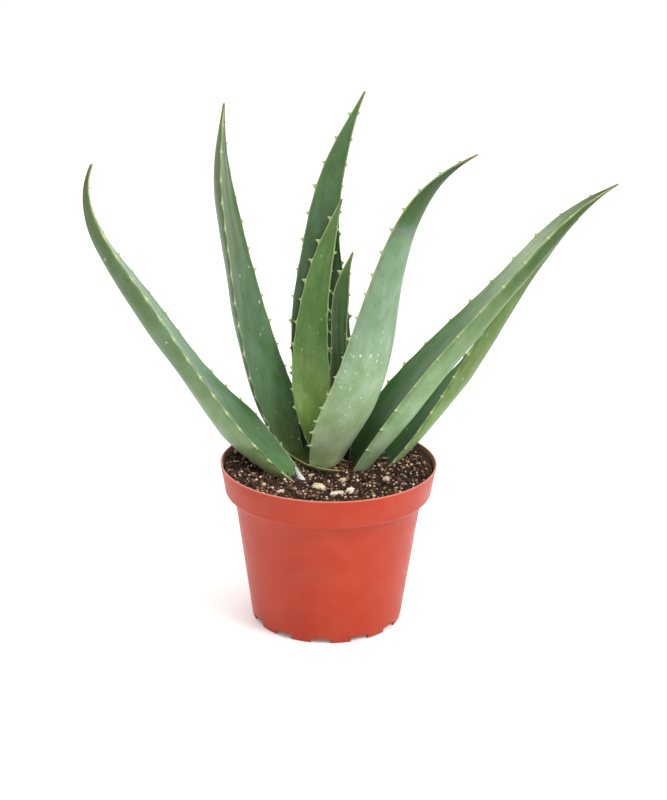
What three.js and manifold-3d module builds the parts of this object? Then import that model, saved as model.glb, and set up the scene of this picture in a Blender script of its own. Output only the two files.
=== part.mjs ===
// A young aloe in a thin moulded nursery pot.
//
// Millimetres, +Z up. The origin is the middle of the pot's foot, on the surface that it stands on;
// -Y is the front and +X is to the right. The pot, the soil, the stem with its roots, every leaf
// and every pebble on the soil is a solid of its own. The plant is built from the inside out: each
// piece is cut back where the pieces inside it already stand, so that all of them nest.

import * as THREE from 'three';
import { mergeVertices } from 'three/addons/utils/BufferGeometryUtils.js';
import Module from 'manifold-3d';

const wasm = await Module();
wasm.setup();

// ---------------------------------------------------------------- driving dimensions

const FIT = 0.3; // clearance between pieces that touch
const SWELL = 0.45; // how far a swollen copy stands out, so that its sharp edges still leave the fit

// Pot
const POT_HEIGHT = 99;
const RIM_RADIUS = 65; // outside, at the lip
const FOOT_RADIUS = 45.6; // outside, where the wall meets the surface
const WALL = 1.2;
const FLOOR = 1.5;
const BAND_HEIGHT = 19; // the wide band below the lip
const BAND_TAPER = 2.7; // how much wider the band is at the lip than at its lower edge
const BAND_STEP = 5.5; // how far the band stands out from the wall under it
const BAND_ROUND = 2.9; // radius of the band's lower edge
const POT_SIDES = 48;

// Foot of the pot
const FEET = 12;
const FIRST_NOTCH = -64; // bearing of the first drainage notch, degrees
const NOTCH_WIDTH = 11.5;
const NOTCH_HEIGHT = 3;
const FLOOR_LIFT = 3.4; // underside of the floor above the surface
const PAD_RADIUS = 11; // the middle of the floor dips to a flat pad, which also stands on the surface
const PAD_SLOPE = 4;
const DRAIN_HOLES = 6;
const DRAIN_RADIUS = 3.5;
const DRAIN_CIRCLE = 29;

// Soil
const SOIL_BELOW_LIP = 7;
const SOIL_BEVEL = 1; // the soil's edge is rubbed down beside the wall

// Stem and roots
const CROWN = { x: 4, y: 19 }; // where the plant stands in the pot
const STEM_RADIUS = 6;
const STEM_TOP_DEPTH = 4; // below the soil's surface
const STEM_LENGTH = 30;
const ROOTS = 6;
const ROOT_RADIUS = 1.5;
const ROOT_REACH = 27;
const ROOT_DROP = 34;

// Teeth along the leaf margins
const TOOTH_RADIUS = 1.1;
const TOOTH_HEIGHT = 3.2;
const TOOTH_SEAT = 1.1; // how deep a tooth's base sits in the margin
const TOOTH_LEAN = 40; // degrees, towards the tip
const TOOTH_PITCH = 15;
const TOOTH_FIRST = 34; // distance of the first tooth from the leaf's root
const TOOTH_LAST = 9; // distance of the last tooth from the leaf's tip

// Mesh resolution of a leaf and of the walk along its middle line
const LEAF_SIDES = 12;
const LEAF_STATIONS = 18;
const WALK_STEPS = 60;

const SWEEP_SHARE = 0.4; // share of a leaf's length over which its swept root comes back into line

// Each leaf leaves the stem at root, counted from the crown on the soil's surface. Heading is its
// compass direction from +X, climb its angle above the horizontal and roll its turn about its own
// middle line, in degrees; width is in millimetres. Each list is spread evenly from root to tip.
// Bulge and channel are the depths of the underside and of the hollow top, as shares of the width.
// Sweep moves the root aside, where the base of a leaf wraps round the front of the crown.
// The order is from the heart outwards: a leaf is cut back by every leaf before it.
const LEAVES = [
  {
    name: 'heart',
    root: [1, 2.5, -6],
    length: 137,
    heading: [63, 52, 45],
    climb: [74, 93, 93, 85, 59],
    roll: [0, -4, 18],
    width: [15, 17, 16, 12, 11, 1.5],
    bulge: 0.3,
    channel: 0.12,
    colour: '#4d7040',
  },
  {
    name: 'centre',
    root: [-3, 2, -8],
    length: 171,
    heading: [155, 80, 33],
    climb: [71, 70, 73, 69, 67],
    roll: [0, -12, 25],
    width: [20, 24, 23, 20, 13, 1.5],
    bulge: 0.3,
    channel: 0.12,
    colour: '#6f9358',
  },
  {
    name: 'back_tall',
    root: [-2, 8, -12],
    length: 242,
    heading: [116, 91, 35],
    climb: [69, 77, 75, 62, 59],
    roll: [1, -7, 22],
    width: [34, 37, 36, 23, 14, 1.5],
    bulge: 0.3,
    channel: 0.12,
    colour: '#45684a',
  },
  {
    name: 'front',
    root: [-3.5, -5, -12],
    length: 249,
    heading: [-59, -52, -27],
    climb: [78, 63, 72, 63, 29],
    roll: [14, 6, -20],
    width: [27, 43, 38, 25, 15, 1.5],
    bulge: 0.34,
    channel: 0.1,
    colour: '#86a184',
  },
  {
    name: 'left_high',
    root: [-3.5, 3.5, -7.5],
    length: 239,
    heading: [158, 144, 153],
    climb: [35, 65, 74, 79, 95],
    roll: [-26, 6, 22],
    width: [24, 32, 31, 26, 20, 1.5],
    bulge: 0.36,
    channel: 0.12,
    colour: '#4b7150',
  },
  {
    name: 'right_high',
    root: [6.5, -1, -12.5],
    length: 248,
    heading: [-6, -2, -13],
    climb: [72, 55, 48, 50, 30],
    roll: [16, 4, 12],
    width: [23, 40, 37, 27, 20, 1.5],
    bulge: 0.42,
    channel: 0.12,
    colour: '#6c9178',
  },
  {
    name: 'right_low',
    root: [9, 1, -14],
    length: 214,
    heading: [16, -1, -1],
    climb: [37, 48, 59, 55, 46],
    roll: [17, -11, -4],
    width: [25, 30, 27, 26, 16, 1.5],
    bulge: 0.37,
    channel: 0.12,
    colour: '#5f8657',
  },
  {
    name: 'left_low',
    root: [-9.5, -1, -13],
    sweep: [0, -16, 6.5],
    length: 246,
    heading: [183, 169, 185],
    climb: [38, 45, 54, 55, 90],
    roll: [-16, 11, 8],
    width: [40, 38, 27, 26, 16, 1.5],
    bulge: 0.5,
    channel: 0.1,
    colour: '#5b865a',
  },
];

// Perlite and pumice lying in the soil's surface: bearing in degrees, inset from the pot's wall,
// the lump's size along and across its bearing and its height, and how much of it shows.
const PEBBLE_SHOWING = 0.5;
const PEBBLES = [
  { bearing: -102, inset: 33, size: [6, 10, 6] },
  { bearing: -82, inset: 24, size: [6, 8.5, 5] },
  { bearing: -67, inset: 27, size: [5, 6, 4.5] },
  { bearing: -60, inset: 44, size: [4, 4.5, 4] },
  { bearing: -100, inset: 9, size: [4, 5, 4] },
  { bearing: -128, inset: 16, size: [4, 5, 4] },
  { bearing: 171, inset: 4.5, size: [6, 6, 5] },
  { bearing: -19, inset: 24, size: [5, 5.5, 4.5] },
  { bearing: 17, inset: 11, size: [4, 5, 4] },
  { bearing: 55, inset: 12, size: [5, 7, 5] },
  { bearing: 95, inset: 8, size: [5, 5, 4] },
  { bearing: 122, inset: 10, size: [5, 7, 5] },
];
const PEBBLE_ROUGHNESS = 0.14; // how far a lump's corners stray from an ellipsoid

// ---------------------------------------------------------------- derived sizes

const soilLevel = POT_HEIGHT - SOIL_BELOW_LIP;
const bandFoot = POT_HEIGHT - BAND_HEIGHT;
const bandRadius = RIM_RADIUS - BAND_TAPER;
const wallTopRadius = bandRadius - BAND_STEP;
const soilRadius = bandRadius - WALL; // the pot's inside radius in the band, at its narrowest

// ---------------------------------------------------------------- helpers

const radians = THREE.MathUtils.degToRad;

// A closed three.js geometry as a solid that can be joined and cut, its surface moved outwards
// by swell.
function solid(geometry, swell = 0) {
  const bare = geometry.clone();
  bare.deleteAttribute('normal');
  bare.deleteAttribute('uv');
  const merged = mergeVertices(bare, 1e-3);
  merged.computeVertexNormals();
  const { position, normal } = merged.attributes;
  const mesh = new wasm.Mesh({
    numProp: 3,
    vertProperties: position.array.map((value, i) => value + swell * normal.array[i]),
    triVerts: new Uint32Array(merged.index.array),
  });
  return new wasm.Manifold(mesh);
}

function geometryOf(body) {
  const mesh = body.getMesh();
  const geometry = new THREE.BufferGeometry();
  geometry.setAttribute('position', new THREE.BufferAttribute(mesh.vertProperties, 3));
  geometry.setIndex(new THREE.BufferAttribute(mesh.triVerts, 1));
  geometry.computeVertexNormals();
  return geometry;
}

// A piece keeps its main body when a cut leaves crumbs of it behind.
function mainBody(body) {
  return body.decompose().reduce((a, b) => (a.volume() > b.volume() ? a : b));
}

function carved(body, cutters) {
  return mainBody(cutters.reduce((left, cutter) => left.subtract(cutter), body));
}

// A profile of [radius, height] pairs turned about +Z.
function turned(profile, sides) {
  const points = profile.map(([r, z]) => new THREE.Vector2(r, z));
  return new THREE.LatheGeometry(points, sides).rotateX(Math.PI / 2);
}

// A smooth value between numbers that are spread evenly from t = 0 to t = 1.
function along(values, t) {
  const spans = values.length - 1;
  const place = THREE.MathUtils.clamp(t, 0, 1) * spans;
  const i = Math.min(Math.floor(place), spans - 1);
  const f = place - i;
  const before = values[Math.max(i - 1, 0)];
  const after = values[Math.min(i + 2, spans)];
  const [a, b] = [values[i], values[i + 1]];
  const [slopeA, slopeB] = [(b - before) / 2, (after - a) / 2];
  return (
    (2 * a - 2 * b + slopeA + slopeB) * f ** 3 +
    (3 * b - 3 * a - 2 * slopeA - slopeB) * f ** 2 +
    slopeA * f +
    a
  );
}

// ---------------------------------------------------------------- pot

// The inside of the pot from the middle of its floor to the lip, set in by a clearance.
function potInside(clearance) {
  const floorTop = FLOOR_LIFT + FLOOR;
  const slope = (wallTopRadius - FOOT_RADIUS) / bandFoot;
  const inset = WALL + clearance;
  return [
    [0, FLOOR + clearance],
    [PAD_RADIUS, FLOOR + clearance],
    [PAD_RADIUS + PAD_SLOPE, floorTop + clearance],
    [FOOT_RADIUS + slope * floorTop - inset, floorTop + clearance],
    [wallTopRadius - inset, bandFoot + WALL + clearance],
    [bandRadius - BAND_ROUND - inset, bandFoot + WALL + clearance],
    [bandRadius - inset, bandFoot + BAND_ROUND + clearance],
  ];
}

function potBody() {
  const round = [0, 1, 2, 3].map((i) => {
    const angle = ((i / 3) * Math.PI) / 2;
    return [
      bandRadius - BAND_ROUND * (1 - Math.sin(angle)),
      bandFoot + BAND_ROUND * (1 - Math.cos(angle)),
    ];
  });
  const lipRound = WALL / 3;
  const profile = [
    [0, 0],
    [PAD_RADIUS, 0],
    [PAD_RADIUS + PAD_SLOPE, FLOOR_LIFT],
    [FOOT_RADIUS - WALL, FLOOR_LIFT],
    [FOOT_RADIUS - WALL, 0],
    [FOOT_RADIUS, 0],
    [wallTopRadius, bandFoot],
    ...round,
    [RIM_RADIUS, POT_HEIGHT - lipRound],
    [RIM_RADIUS - lipRound, POT_HEIGHT],
    [RIM_RADIUS - WALL + lipRound, POT_HEIGHT],
    [RIM_RADIUS - WALL, POT_HEIGHT - lipRound],
    ...potInside(0).reverse(),
  ];
  const cutters = [];
  for (let i = 0; i < FEET; i++) {
    const notch = new THREE.BoxGeometry(6 * WALL, NOTCH_WIDTH, 2 * NOTCH_HEIGHT);
    notch.translate(FOOT_RADIUS - WALL / 2, 0, 0);
    cutters.push(solid(notch.rotateZ(radians(FIRST_NOTCH + (i * 360) / FEET))));
  }
  for (let i = 0; i < DRAIN_HOLES; i++) {
    const hole = new THREE.CylinderGeometry(DRAIN_RADIUS, DRAIN_RADIUS, 4 * FLOOR, 10);
    hole.rotateX(Math.PI / 2).translate(DRAIN_CIRCLE, 0, FLOOR_LIFT + FLOOR / 2);
    cutters.push(solid(hole.rotateZ(radians((i * 360) / DRAIN_HOLES))));
  }
  return carved(solid(turned(profile, POT_SIDES)), cutters);
}

// ---------------------------------------------------------------- leaves

// The middle line of a leaf, with the frame at each step: along the leaf, out of its upper side,
// and across it.
function leafLine(leaf) {
  const [dx, dy, dz] = leaf.root;
  const point = new THREE.Vector3(CROWN.x + dx, CROWN.y + dy, soilLevel + dz);
  const steps = [point.clone()];
  for (let i = 0; i < WALK_STEPS; i++) {
    point.addScaledVector(leafFrame(leaf, (i + 0.5) / WALK_STEPS).ahead, leaf.length / WALK_STEPS);
    steps.push(point.clone());
  }
  const aside = new THREE.Vector3(...(leaf.sweep ?? [0, 0, 0]));
  return steps.map((step, i) =>
    step.addScaledVector(aside, 1 - THREE.MathUtils.smoothstep(i / WALK_STEPS, 0, SWEEP_SHARE)),
  );
}

function leafFrame(leaf, t) {
  const heading = radians(along(leaf.heading, t));
  const climb = radians(along(leaf.climb, t));
  const roll = radians(along(leaf.roll, t));
  const flat = new THREE.Vector3(Math.cos(heading), Math.sin(heading), 0);
  const up = new THREE.Vector3(0, 0, 1);
  const ahead = flat.clone().multiplyScalar(Math.cos(climb)).addScaledVector(up, Math.sin(climb));
  const over = flat.clone().multiplyScalar(-Math.sin(climb)).addScaledVector(up, Math.cos(climb));
  const across = ahead.clone().cross(over);
  over.applyAxisAngle(ahead, roll);
  across.applyAxisAngle(ahead, roll);
  return { ahead, over, across };
}

function leafPoint(line, t) {
  const place = t * WALK_STEPS;
  const i = Math.min(Math.floor(place), WALK_STEPS - 1);
  return line[i].clone().lerp(line[i + 1], place - i);
}

// Height of the leaf's surface over the plane of its margins: a shallow channel above, a full
// belly below. A swollen copy is raised along its top and margins and lowered along its belly.
function leafHeight(leaf, t, width, angle, swell) {
  const side = Math.sin(angle);
  if (side > -1e-6) return swell - width * leaf.channel * (1 - t) * side ** 2;
  return swell * side - width * leaf.bulge * Math.abs(side) ** 1.3;
}

// A sphere whose poles become the middle of the leaf's flat root and its tip.
function leafBlade(leaf, line, swell) {
  const blade = new THREE.SphereGeometry(1, LEAF_SIDES, LEAF_STATIONS);
  const { position, uv } = blade.attributes;
  for (let i = 0; i < position.count; i++) {
    const station = Math.round(LEAF_STATIONS * (1 - uv.getY(i)));
    const t = Math.max(0, (station - 1) / (LEAF_STATIONS - 1));
    const angle = 2 * Math.PI * uv.getX(i);
    const pole = station === 0 || t === 1;
    const width = pole ? 0 : along(leaf.width, t) + 3 * swell;
    const middle = ((t - 1) * leaf.width[0] * leaf.bulge) / 2;
    const { ahead, over, across } = leafFrame(leaf, t);
    const point = leafPoint(line, t)
      .addScaledVector(across, (width / 2) * Math.cos(angle))
      .addScaledVector(over, pole ? middle : leafHeight(leaf, t, width, angle, swell));
    if (t === 0) point.addScaledVector(ahead, -swell);
    if (t === 1) point.addScaledVector(ahead, 3 * swell);
    position.setXYZ(i, point.x, point.y, point.z);
  }
  return blade;
}

// A tooth is a small three-sided point set in the margin, leaning towards the leaf's tip.
function leafTooth(leaf, line, t, side, swell) {
  const { ahead, over, across } = leafFrame(leaf, t);
  const out = across.clone().multiplyScalar(side);
  const lean = radians(TOOTH_LEAN);
  const point = out.clone().multiplyScalar(Math.cos(lean)).addScaledVector(ahead, Math.sin(lean));
  const seat = leafPoint(line, t).addScaledVector(out, along(leaf.width, t) / 2 - TOOTH_SEAT);
  const cone = new THREE.ConeGeometry(TOOTH_RADIUS + swell, TOOTH_HEIGHT + 2 * swell, 3);
  cone.translate(0, (TOOTH_HEIGHT + 2 * swell) / 2 - swell, 0);
  const beside = point.clone().cross(over).normalize();
  cone.applyMatrix4(new THREE.Matrix4().makeBasis(beside, point, beside.clone().cross(point)));
  return cone.translate(seat.x, seat.y, seat.z);
}

function leafBody(leaf, swell) {
  const line = leafLine(leaf);
  const pieces = [solid(leafBlade(leaf, line, swell))];
  for (let at = TOOTH_FIRST; at < leaf.length - TOOTH_LAST; at += TOOTH_PITCH) {
    for (const side of [-1, 1]) {
      // The teeth of the two margins alternate.
      const t = (at + (side * TOOTH_PITCH) / 4) / leaf.length;
      pieces.push(solid(leafTooth(leaf, line, t, side, swell)));
    }
  }
  return wasm.Manifold.union(pieces);
}

// ---------------------------------------------------------------- stem and roots

function stemBody(swell) {
  const top = soilLevel - STEM_TOP_DEPTH;
  const foot = top - STEM_LENGTH;
  const profile = [
    [0, foot],
    [STEM_RADIUS * 0.5, foot],
    [STEM_RADIUS * 0.85, foot + STEM_LENGTH * 0.3],
    [STEM_RADIUS, top - STEM_RADIUS * 1.2],
    [STEM_RADIUS * 0.7, top - STEM_RADIUS * 0.4],
    [0, top],
  ];
  const pieces = [solid(turned(profile, 16).translate(CROWN.x, CROWN.y, 0), swell)];
  const section = new THREE.Shape().absarc(0, 0, ROOT_RADIUS, 0, 2 * Math.PI);
  for (let i = 0; i < ROOTS; i++) {
    const bearing = (i * 2 * Math.PI) / ROOTS;
    const reach = ROOT_REACH * (i % 2 ? 1 : 0.8);
    const spread = (share, drop) =>
      new THREE.Vector3(
        CROWN.x * (1 - share) + reach * share * Math.cos(bearing),
        CROWN.y * (1 - share) + reach * share * Math.sin(bearing),
        foot + STEM_RADIUS - ROOT_DROP * drop,
      );
    const bends = [spread(0, 0), spread(0.5, 0.15), spread(0.85, 0.5), spread(1, 1)];
    const path = new THREE.CatmullRomCurve3(bends);
    const tube = { steps: 6, curveSegments: 3, extrudePath: path };
    pieces.push(solid(new THREE.ExtrudeGeometry(section, tube), swell));
  }
  return wasm.Manifold.union(pieces);
}

// ---------------------------------------------------------------- soil and pebbles

function soilBody() {
  const edge = RIM_RADIUS - WALL - FIT - (BAND_TAPER * SOIL_BELOW_LIP) / (BAND_HEIGHT - BAND_ROUND);
  const profile = [
    ...potInside(FIT),
    [edge, soilLevel - SOIL_BEVEL],
    [edge - SOIL_BEVEL, soilLevel],
    [0, soilLevel],
  ];
  return solid(turned(profile, POT_SIDES));
}

// An uneven lump: an ellipsoid whose corners stray by a fixed pattern.
function pebbleGeometry({ bearing, inset, size }, seed) {
  const lump = new THREE.DodecahedronGeometry(0.5);
  const { position } = lump.attributes;
  for (let i = 0; i < position.count; i++) {
    const [x, y, z] = [position.getX(i), position.getY(i), position.getZ(i)];
    const stray = Math.sin(9 * x + 2.1 * seed) + Math.sin(11 * y - 1.3 * seed) + Math.sin(8 * z + seed);
    const reach = 1 + (PEBBLE_ROUGHNESS * stray) / 3;
    position.setXYZ(i, x * reach * size[0], y * reach * size[1], z * reach * size[2]);
  }
  const radius = soilRadius - inset;
  lump.translate(radius, 0, soilLevel + size[2] * (PEBBLE_SHOWING - 0.5));
  return lump.rotateZ(radians(bearing));
}

// ---------------------------------------------------------------- materials

const plastic = new THREE.MeshStandardMaterial({ color: '#c8523a', roughness: 0.45 });
const peat = new THREE.MeshStandardMaterial({ color: '#3b2b22', roughness: 1 });
const bark = new THREE.MeshStandardMaterial({ color: '#8d8a5a', roughness: 0.8 });
const perlite = new THREE.MeshStandardMaterial({ color: '#d9cdb8', roughness: 0.9 });

// ---------------------------------------------------------------- assembly

const plant = new THREE.Group();

function add(name, body, material) {
  const mesh = new THREE.Mesh(geometryOf(body), material);
  mesh.name = name;
  plant.add(mesh);
}

add('pot', potBody(), plastic);

add('stem_and_roots', mainBody(stemBody(0)), bark);
const planted = [stemBody(SWELL)]; // every piece that stands in the soil, with its clearance

for (const leaf of LEAVES) {
  const skin = new THREE.MeshStandardMaterial({ color: leaf.colour, roughness: 0.5 });
  add('leaf_' + leaf.name, carved(leafBody(leaf, 0), planted), skin);
  planted.push(leafBody(leaf, SWELL));
}

PEBBLES.forEach((pebble, i) => {
  const lump = pebbleGeometry(pebble, i + 1);
  add('pebble_' + String(i + 1).padStart(2, '0'), carved(solid(lump), planted), perlite);
  planted.push(solid(lump, SWELL));
});

add('potting_soil', carved(soilBody(), planted), peat);

export default plant;
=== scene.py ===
# %% [markdown]
# # A young aloe in a thin moulded nursery pot
#
# The real thing is a living plant: eight thick, waxy leaves around a short stem, standing in dark
# peat with lumps of perlite, in a thin-walled plastic pot. The CAD frame holds every size. Here each
# plain solid gets a detailed piece that stands in the same place, and a finish of its own.
#
# We load the frame first.

# %% Load the frame
import math
import random

import bmesh
import bpy
import numpy as np
from mathutils import Matrix, Vector, noise


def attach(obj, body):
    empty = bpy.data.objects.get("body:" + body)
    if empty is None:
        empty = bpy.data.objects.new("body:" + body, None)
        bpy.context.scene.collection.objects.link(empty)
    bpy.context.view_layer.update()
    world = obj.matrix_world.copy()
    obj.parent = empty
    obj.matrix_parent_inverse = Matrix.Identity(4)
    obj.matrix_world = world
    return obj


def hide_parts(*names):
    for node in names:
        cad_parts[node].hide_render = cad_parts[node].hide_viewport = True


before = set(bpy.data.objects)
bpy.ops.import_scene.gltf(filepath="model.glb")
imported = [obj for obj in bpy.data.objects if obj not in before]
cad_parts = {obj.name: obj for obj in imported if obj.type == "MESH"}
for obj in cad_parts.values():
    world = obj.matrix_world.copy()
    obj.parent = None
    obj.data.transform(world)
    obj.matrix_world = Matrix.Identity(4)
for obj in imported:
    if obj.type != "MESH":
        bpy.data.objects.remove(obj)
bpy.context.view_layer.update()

MM = 0.001  # one millimetre in metres

# %% [markdown]
# ## Camera, floor and light
#
# The pot stands on a white sheet under big soft lamps. A camera could be placed with a constraint
# that points at a target. We write its three axes instead, because the view also leans by a
# fraction of a degree, and a matrix holds all of that in one place.

# %% Camera
AIM = Vector((0.0024, 0.0, 0.1375))
DISTANCE = 1.0
ELEVATION = math.radians(19.1)
LEAN = math.radians(0.85)
LENS = 75.8

back = Vector((0, -math.cos(ELEVATION), math.sin(ELEVATION)))
level = Vector((1, 0, 0))
upright = back.cross(level)
right = math.cos(LEAN) * level + math.sin(LEAN) * upright
above = math.cos(LEAN) * upright - math.sin(LEAN) * level
camera = bpy.data.objects.new("camera", bpy.data.cameras.new("camera"))
camera.data.lens = LENS
turn = Matrix((right, above, back)).transposed()
camera.matrix_world = Matrix.Translation(AIM + DISTANCE * back) @ turn.to_4x4()
bpy.context.scene.collection.objects.link(camera)
bpy.context.scene.camera = camera
bpy.context.scene.view_settings.view_transform = "Standard"
print("camera at", [round(x, 3) for x in camera.matrix_world.translation], "lens", LENS)

# %% [markdown]
# ### Small helpers for shader trees
#
# A material is a tree of nodes. Wiring it takes many lines, so one function adds a node, sets its
# values and links what comes from other nodes. A few more name the things that we do often: a blend
# of two colours, a sum, a mask with soft edges, a ramp.

# %% Shader helpers
def feed(tree, node, sockets):
    """Links what comes from another node, and sets what is a plain value."""
    for key, value in sockets.items():
        if isinstance(value, bpy.types.NodeSocket):
            tree.links.new(value, node.inputs[key])
        else:
            node.inputs[key].default_value = value


def add_node(tree, kind, sockets, **settings):
    node = tree.nodes.new(kind)
    for key, value in settings.items():
        setattr(node, key, value)
    feed(tree, node, sockets)
    return node


def colour(code, strength=1.0):
    """A web colour as the linear colour that Blender wants, made darker by strength."""
    parts = [int(code[i : i + 2], 16) / 255 for i in (1, 3, 5)]
    linear = [c / 12.92 if c < 0.04045 else ((c + 0.055) / 1.055) ** 2.4 for c in parts]
    return (*[c * strength for c in linear], 1.0)


def blend(tree, mask, a, b, mode="MIX"):
    sockets = {0: mask, 6: a, 7: b}
    node = add_node(tree, "ShaderNodeMix", sockets, data_type="RGBA", blend_type=mode)
    return node.outputs[2]


def sum_of(tree, operation, a, b=0.0):
    return add_node(tree, "ShaderNodeMath", {0: a, 1: b}, operation=operation).outputs[0]


def product(tree, a, b):
    return sum_of(tree, "MULTIPLY", a, b)


def total(tree, a, b):
    return sum_of(tree, "ADD", a, b)


def tint(tree, base, mask, share, code, strength=1.0):
    """Lays a share of one colour over the base, where the mask is."""
    return blend(tree, product(tree, mask, share), base, colour(code, strength))


def soft_mask(tree, value, start, end, low=0.0, high=1.0):
    """low where value is below start, high where it is above end, and smooth in between."""
    sockets = {"Value": value, "From Min": start, "From Max": end, "To Min": low, "To Max": high}
    return add_node(tree, "ShaderNodeMapRange", sockets, interpolation_type="SMOOTHSTEP").outputs[0]


def ramp(tree, value, stops, strength=1.0):
    node = add_node(tree, "ShaderNodeValToRGB", {0: value})
    band = node.color_ramp
    while len(band.elements) < len(stops):
        band.elements.new(0.5)
    for element, (place, code) in zip(band.elements, stops):
        element.position = place
        element.color = colour(code, strength)
    return node.outputs[0]


def start_material(name):
    """A new material, its tree, its surface shader and the place of each point."""
    material = bpy.data.materials.new(name)
    material.use_nodes = True
    tree = material.node_tree
    place = add_node(tree, "ShaderNodeTexCoord", {}).outputs["Object"]
    return material, tree, tree.nodes["Principled BSDF"], place


def wire_surface(tree, surface, base, roughness, height, depth, specular=0.5):
    """Feeds the surface shader its colour, its roughness and a bump depth millimetres deep."""
    bump = add_node(tree, "ShaderNodeBump", {"Height": height, "Distance": depth * MM})
    feed(tree, surface, {"Base Color": base, "Roughness": roughness,
                         "Specular IOR Level": specular, "Normal": bump.outputs[0]})


# %% [markdown]
# ### Effects that several materials share
#
# Peat, perlite, plastic and leaf skin all have a slow drift of tone, a fine tooth that only the
# bump shows, and small flecks. Each of these is a node group, built once, with its scale as an input.

# %% Shared node groups
def start_group(name, numbers, output):
    """An empty node group with a Vector, some numbers and one number that comes out."""
    tree = bpy.data.node_groups.new(name, "ShaderNodeTree")
    tree.interface.new_socket(name="Vector", in_out="INPUT", socket_type="NodeSocketVector")
    for label, value in numbers.items():
        socket = tree.interface.new_socket(name=label, in_out="INPUT", socket_type="NodeSocketFloat")
        socket.default_value = value
    tree.interface.new_socket(name=output, in_out="OUTPUT", socket_type="NodeSocketFloat")
    return tree, tree.nodes.new("NodeGroupInput").outputs, tree.nodes.new("NodeGroupOutput")


def build_mottle():
    """A slow drift of tone, from 0 to 1."""
    tree, given, out = start_group("mottle", {"Scale": 100.0}, "Value")
    sockets = {"Vector": given["Vector"], "Scale": given["Scale"], "Detail": 4.0, "Roughness": 0.6}
    drift = add_node(tree, "ShaderNodeTexNoise", sockets)
    tree.links.new(soft_mask(tree, drift.outputs[0], 0.3, 0.7), out.inputs["Value"])
    return tree


def build_flecks():
    """Round flecks of random size. Share is how many of the places have a fleck, Size how wide."""
    tree, given, out = start_group("flecks", {"Scale": 200.0, "Size": 0.3, "Share": 0.3}, "Mask")
    sockets = {"Vector": given["Vector"], "Scale": given["Scale"]}
    cells = add_node(tree, "ShaderNodeTexVoronoi", sockets)
    split = add_node(tree, "ShaderNodeSeparateColor", {0: cells.outputs["Color"]})
    width = product(tree, given["Size"], total(tree, split.outputs[1], 0.4))
    inner = product(tree, width, 0.6)
    round_mask = soft_mask(tree, cells.outputs["Distance"], inner, width, 1.0, 0.0)
    chosen = sum_of(tree, "LESS_THAN", split.outputs[0], given["Share"])
    tree.links.new(product(tree, round_mask, chosen), out.inputs["Mask"])
    return tree


def build_tooth():
    """A fine, even tooth for a bump."""
    tree, given, out = start_group("fine_tooth", {"Scale": 1500.0}, "Height")
    sockets = {"Vector": given["Vector"], "Scale": given["Scale"], "Detail": 3.0}
    fine = add_node(tree, "ShaderNodeTexNoise", sockets)
    tree.links.new(fine.outputs[0], out.inputs["Height"])
    return tree


MOTTLE, FLECKS, TOOTH = build_mottle(), build_flecks(), build_tooth()


def use_group(tree, group, **sockets):
    return add_node(tree, "ShaderNodeGroup", sockets, node_tree=group).outputs[0]


def mottle(tree, vector, scale):
    return use_group(tree, MOTTLE, Vector=vector, Scale=scale)


def flecks(tree, vector, scale, size, share):
    return use_group(tree, FLECKS, Vector=vector, Scale=scale, Size=size, Share=share)


def fine_tooth(tree, vector, scale):
    return use_group(tree, TOOTH, Vector=vector, Scale=scale)


def height_of(tree, place):
    return add_node(tree, "ShaderNodeSeparateXYZ", {0: place}).outputs["Z"]


def stretched(tree, vector, scale):
    sockets = {"Vector": vector, "Scale": scale}
    return add_node(tree, "ShaderNodeMapping", sockets).outputs[0]


print("node groups:", [g.name for g in (MOTTLE, FLECKS, TOOTH)])

# %% Floor and lamps
FLOOR_HALF = 6.0


def build_floor():
    bm = bmesh.new()
    bmesh.ops.create_grid(bm, x_segments=2, y_segments=2, size=FLOOR_HALF)
    mesh = bpy.data.meshes.new("floor")
    bm.to_mesh(mesh)
    bm.free()
    floor = bpy.data.objects.new("floor", mesh)
    bpy.context.scene.collection.objects.link(floor)
    paper, tree, surface, _ = start_material("white_paper")
    feed(tree, surface, {"Base Color": (0.95, 0.945, 0.94, 1), "Roughness": 0.9,
                         "Specular IOR Level": 0.2, "Emission Color": (1, 1, 1, 1),
                         "Emission Strength": 0.085})
    mesh.materials.append(paper)


def add_lamp(name, place, size, watts):
    lamp = bpy.data.lights.new(name, "AREA")
    lamp.shape = "DISK"
    lamp.size = size
    lamp.energy = watts
    holder = bpy.data.objects.new(name, lamp)
    toward = AIM - Vector(place)
    turn_to_aim = toward.to_track_quat("-Z", "Y").to_matrix().to_4x4()
    holder.matrix_world = Matrix.Translation(place) @ turn_to_aim
    bpy.context.scene.collection.objects.link(holder)


build_floor()
add_lamp("key_lamp", (1.3, -0.9, 1.5), 1.0, 31)
add_lamp("top_lamp", (-0.3, 0.5, 1.9), 1.4, 16)
world = bpy.data.worlds.new("white_room")
world.use_nodes = True
backdrop = world.node_tree.nodes["Background"]
feed(world.node_tree, backdrop, {"Color": (1, 1, 1, 1), "Strength": 0.93})
bpy.context.scene.world = world
print("floor, 2 lamps and a white room")

# %% [markdown]
# ## Making a piece
#
# Every new piece ends the same way: its bmesh becomes a mesh, the mesh an object at the origin, the
# object rides on the plant's only body and hides the CAD node it stands for, if any.

# %% Helper that finishes a piece
def finish_piece(name, bm, material, nodes=(), smooth=True):
    mesh = bpy.data.meshes.new(name)
    bm.to_mesh(mesh)
    bm.free()
    for face in mesh.polygons:
        face.use_smooth = smooth
    mesh.materials.append(material)
    piece = bpy.data.objects.new(name, mesh)
    bpy.context.scene.collection.objects.link(piece)
    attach(piece, "root")
    if nodes:
        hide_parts(*nodes)
    triangles = sum(len(face.vertices) - 2 for face in mesh.polygons)
    print(f"{name}: {len(mesh.vertices)} points, {triangles} triangles")
    return piece


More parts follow.
